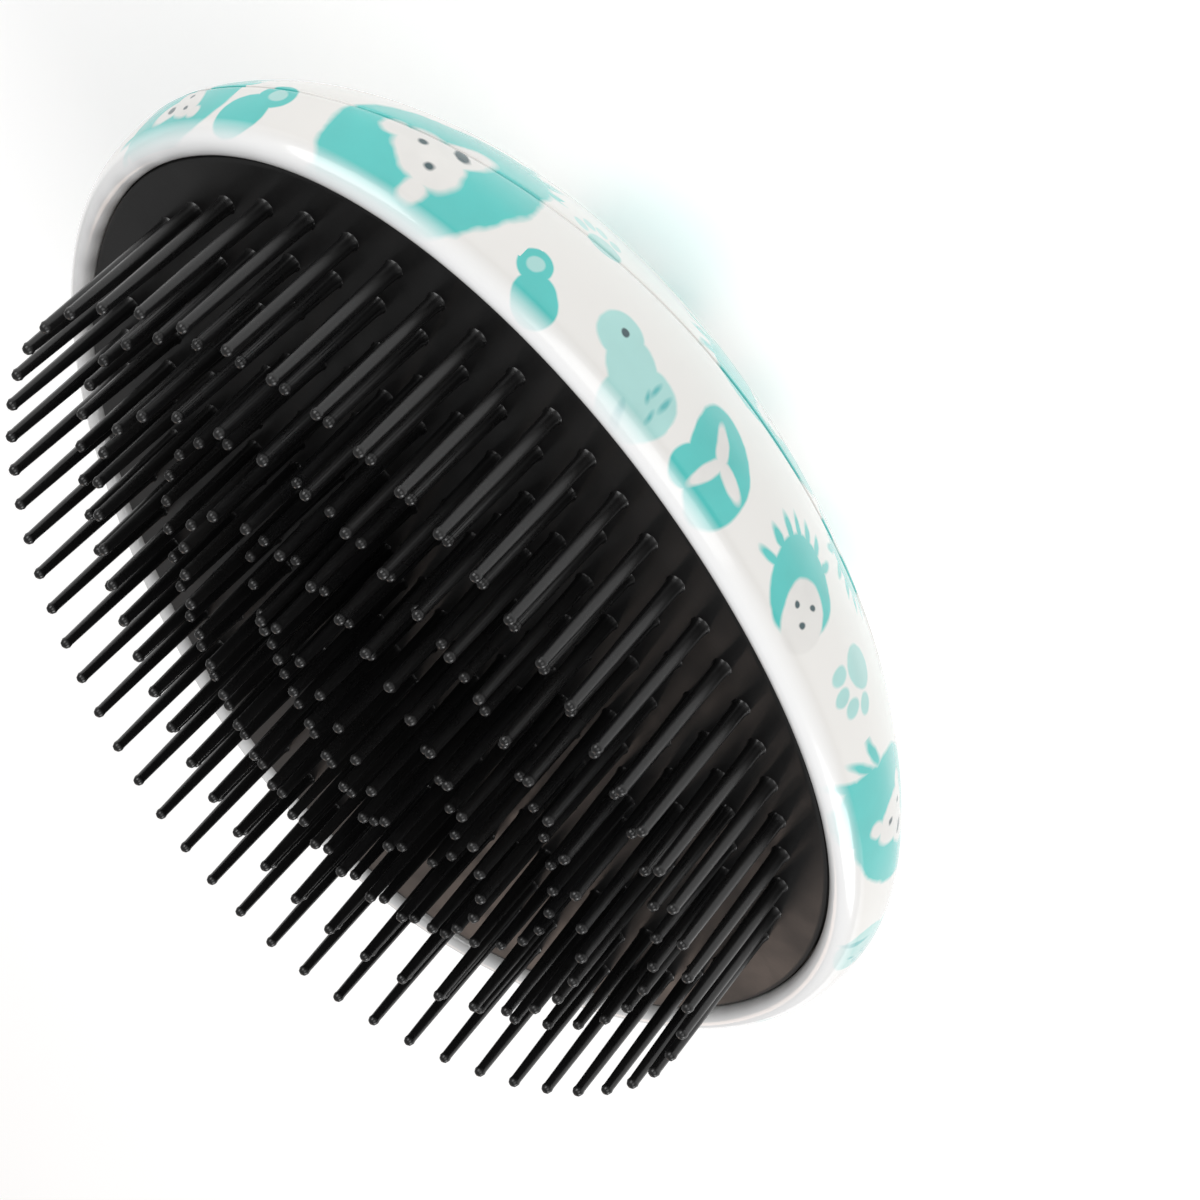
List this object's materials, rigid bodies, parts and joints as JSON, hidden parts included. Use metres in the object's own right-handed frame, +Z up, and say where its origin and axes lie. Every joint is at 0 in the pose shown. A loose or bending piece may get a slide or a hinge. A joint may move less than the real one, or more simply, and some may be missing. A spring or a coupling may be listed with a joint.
{
  "type": "detangling brush",
  "caption": "Palm-held pet detangling brush: egg-shaped two-part shell, black elastomer pad, rings of long and short flexing bristles in sprung rows.",
  "frame": {"origin": "on the crown's flat, under the middle of the brush's bounding box", "axes": "+X along the brush to its blunt end, +Y across it, +Z up the way the bristles point"},
  "size_m": [0.1022, 0.0804, 0.0485],
  "materials": {
    "printed_shell": "gloss white with a printed teal pattern",
    "elastomer": "satin black",
    "inner_plastic": "matt natural white",
    "screw_steel": "zinc plated"
  },
  "bodies": {
    "handle": {"rim_band": "printed_shell", "palm_cover": "printed_shell", "backing_plate": "inner_plastic", "plate_screws": "screw_steel", "bristle_pad": "elastomer"},
    "bristles_01": {"bristle_row_01": "elastomer"},
    "bristles_02": {"bristle_row_02": "elastomer"},
    "bristles_03": {"bristle_row_03": "elastomer"},
    "bristles_04": {"bristle_row_04": "elastomer"},
    "bristles_05": {"bristle_row_05": "elastomer"},
    "bristles_06": {"bristle_row_06": "elastomer"},
    "bristles_07": {"bristle_row_07": "elastomer"},
    "bristles_08": {"bristle_row_08": "elastomer"},
    "bristles_09": {"bristle_row_09": "elastomer"},
    "bristles_10": {"bristle_row_10": "elastomer"},
    "bristles_11": {"bristle_row_11": "elastomer"},
    "bristles_12": {"bristle_row_12": "elastomer"},
    "bristles_13": {"bristle_row_13": "elastomer"},
    "bristles_14": {"bristle_row_14": "elastomer"},
    "bristles_15": {"bristle_row_15": "elastomer"},
    "bristles_16": {"bristle_row_16": "elastomer"},
    "bristles_17": {"bristle_row_17": "elastomer"},
    "bristles_18": {"bristle_row_18": "elastomer"},
    "bristles_19": {"bristle_row_19": "elastomer"}
  },
  "joints": [
    {"name": "bend_10", "type": "hinge", "parent": "handle", "child": "bristles_10", "pos_m": [0, 0, 0.0326], "axis": [0, 1, 0], "range_deg": [-12, 12], "stiffness_Nm_per_rad": 0.002},
    {"name": "bend_01", "type": "hinge", "parent": "handle", "child": "bristles_01", "pos_m": [-0.0414, 0, 0.0326], "axis": [0, 1, 0], "range_deg": [-12, 12], "stiffness_Nm_per_rad": 0.002},
    {"name": "bend_02", "type": "hinge", "parent": "handle", "child": "bristles_02", "pos_m": [-0.0368, 0, 0.0326], "axis": [0, 1, 0], "range_deg": [-12, 12], "stiffness_Nm_per_rad": 0.002},
    {"name": "bend_03", "type": "hinge", "parent": "handle", "child": "bristles_03", "pos_m": [-0.0322, 0, 0.0326], "axis": [0, 1, 0], "range_deg": [-12, 12], "stiffness_Nm_per_rad": 0.002},
    {"name": "bend_04", "type": "hinge", "parent": "handle", "child": "bristles_04", "pos_m": [-0.0276, 0, 0.0326], "axis": [0, 1, 0], "range_deg": [-12, 12], "stiffness_Nm_per_rad": 0.002},
    {"name": "bend_05", "type": "hinge", "parent": "handle", "child": "bristles_05", "pos_m": [-0.023, 0, 0.0326], "axis": [0, 1, 0], "range_deg": [-12, 12], "stiffness_Nm_per_rad": 0.002},
    {"name": "bend_06", "type": "hinge", "parent": "handle", "child": "bristles_06", "pos_m": [-0.0184, 0, 0.0326], "axis": [0, 1, 0], "range_deg": [-12, 12], "stiffness_Nm_per_rad": 0.002},
    {"name": "bend_07", "type": "hinge", "parent": "handle", "child": "bristles_07", "pos_m": [-0.0138, 0, 0.0326], "axis": [0, 1, 0], "range_deg": [-12, 12], "stiffness_Nm_per_rad": 0.002},
    {"name": "bend_08", "type": "hinge", "parent": "handle", "child": "bristles_08", "pos_m": [-0.0092, 0, 0.0326], "axis": [0, 1, 0], "range_deg": [-12, 12], "stiffness_Nm_per_rad": 0.002},
    {"name": "bend_09", "type": "hinge", "parent": "handle", "child": "bristles_09", "pos_m": [-0.0046, 0, 0.0326], "axis": [0, 1, 0], "range_deg": [-12, 12], "stiffness_Nm_per_rad": 0.002},
    {"name": "bend_11", "type": "hinge", "parent": "handle", "child": "bristles_11", "pos_m": [0.0046, 0, 0.0326], "axis": [0, 1, 0], "range_deg": [-12, 12], "stiffness_Nm_per_rad": 0.002},
    {"name": "bend_12", "type": "hinge", "parent": "handle", "child": "bristles_12", "pos_m": [0.0092, 0, 0.0326], "axis": [0, 1, 0], "range_deg": [-12, 12], "stiffness_Nm_per_rad": 0.002},
    {"name": "bend_13", "type": "hinge", "parent": "handle", "child": "bristles_13", "pos_m": [0.0138, 0, 0.0326], "axis": [0, 1, 0], "range_deg": [-12, 12], "stiffness_Nm_per_rad": 0.002},
    {"name": "bend_14", "type": "hinge", "parent": "handle", "child": "bristles_14", "pos_m": [0.0184, 0, 0.0326], "axis": [0, 1, 0], "range_deg": [-12, 12], "stiffness_Nm_per_rad": 0.002},
    {"name": "bend_15", "type": "hinge", "parent": "handle", "child": "bristles_15", "pos_m": [0.023, 0, 0.0326], "axis": [0, 1, 0], "range_deg": [-12, 12], "stiffness_Nm_per_rad": 0.002},
    {"name": "bend_16", "type": "hinge", "parent": "handle", "child": "bristles_16", "pos_m": [0.0276, 0, 0.0326], "axis": [0, 1, 0], "range_deg": [-12, 12], "stiffness_Nm_per_rad": 0.002},
    {"name": "bend_17", "type": "hinge", "parent": "handle", "child": "bristles_17", "pos_m": [0.0322, 0, 0.0326], "axis": [0, 1, 0], "range_deg": [-12, 12], "stiffness_Nm_per_rad": 0.002},
    {"name": "bend_18", "type": "hinge", "parent": "handle", "child": "bristles_18", "pos_m": [0.0368, 0, 0.0326], "axis": [0, 1, 0], "range_deg": [-12, 12], "stiffness_Nm_per_rad": 0.002},
    {"name": "bend_19", "type": "hinge", "parent": "handle", "child": "bristles_19", "pos_m": [0.0414, 0, 0.0326], "axis": [0, 1, 0], "range_deg": [-12, 12], "stiffness_Nm_per_rad": 0.002}
  ],
  "couplings": [
    {"joint": "bend_01", "follows": "bend_10", "ratio": 1},
    {"joint": "bend_02", "follows": "bend_10", "ratio": 1},
    {"joint": "bend_03", "follows": "bend_10", "ratio": 1},
    {"joint": "bend_04", "follows": "bend_10", "ratio": 1},
    {"joint": "bend_05", "follows": "bend_10", "ratio": 1},
    {"joint": "bend_06", "follows": "bend_10", "ratio": 1},
    {"joint": "bend_07", "follows": "bend_10", "ratio": 1},
    {"joint": "bend_08", "follows": "bend_10", "ratio": 1},
    {"joint": "bend_09", "follows": "bend_10", "ratio": 1},
    {"joint": "bend_11", "follows": "bend_10", "ratio": 1},
    {"joint": "bend_12", "follows": "bend_10", "ratio": 1},
    {"joint": "bend_13", "follows": "bend_10", "ratio": 1},
    {"joint": "bend_14", "follows": "bend_10", "ratio": 1},
    {"joint": "bend_15", "follows": "bend_10", "ratio": 1},
    {"joint": "bend_16", "follows": "bend_10", "ratio": 1},
    {"joint": "bend_17", "follows": "bend_10", "ratio": 1},
    {"joint": "bend_18", "follows": "bend_10", "ratio": 1},
    {"joint": "bend_19", "follows": "bend_10", "ratio": 1}
  ]
}
